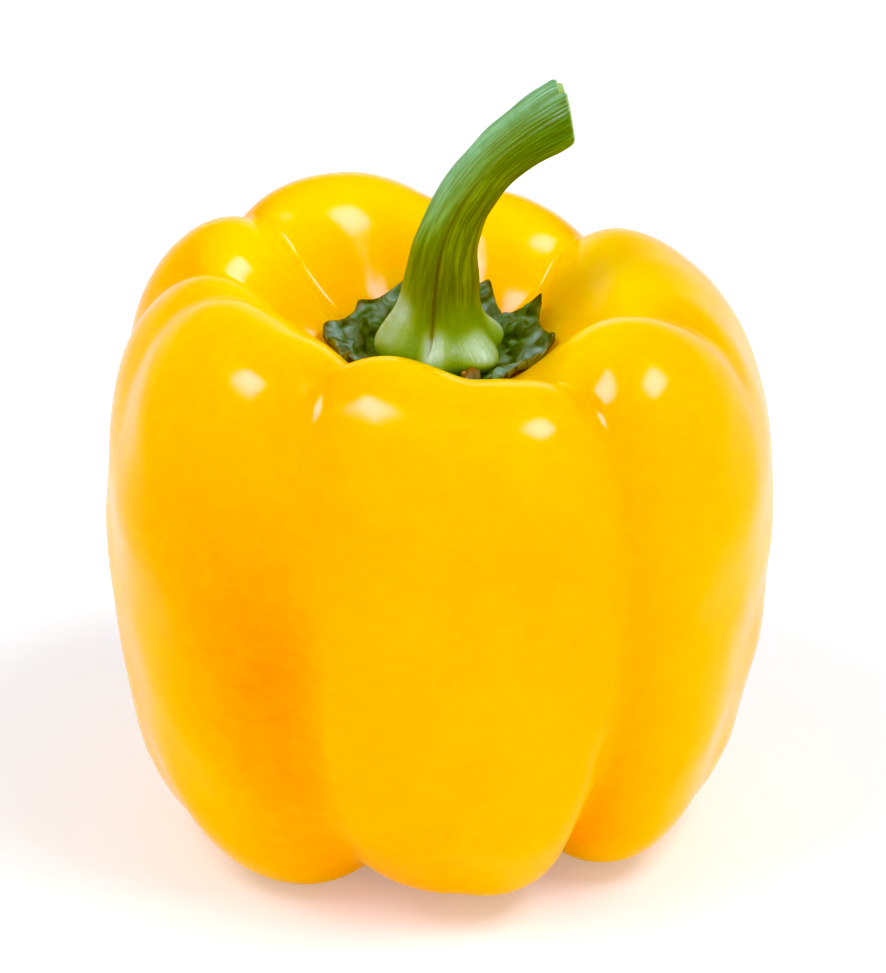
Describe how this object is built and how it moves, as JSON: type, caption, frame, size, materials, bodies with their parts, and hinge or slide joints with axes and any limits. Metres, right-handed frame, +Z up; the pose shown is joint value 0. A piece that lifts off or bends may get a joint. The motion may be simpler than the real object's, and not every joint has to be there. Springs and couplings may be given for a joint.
{
  "type": "bell pepper",
  "caption": "Blocky yellow bell pepper with a deep stem dimple, a star-shaped green calyx and a bent, ribbed cut stem, standing upright on its lobes.",
  "frame": {"origin": "on the surface that the pepper stands on, under the middle of its box", "axes": "+Z up along the growth axis, -Y towards the side that the picture shows, the stem bends towards +X"},
  "size_m": [0.0885, 0.0861, 0.108],
  "materials": {
    "fruit_skin": "gloss",
    "calyx_flesh": "matte",
    "stem_fibre": "satin"
  },
  "bodies": {
    "root": {"fruit": "fruit_skin", "calyx": "calyx_flesh", "stem": "stem_fibre"}
  },
  "joints": []
}
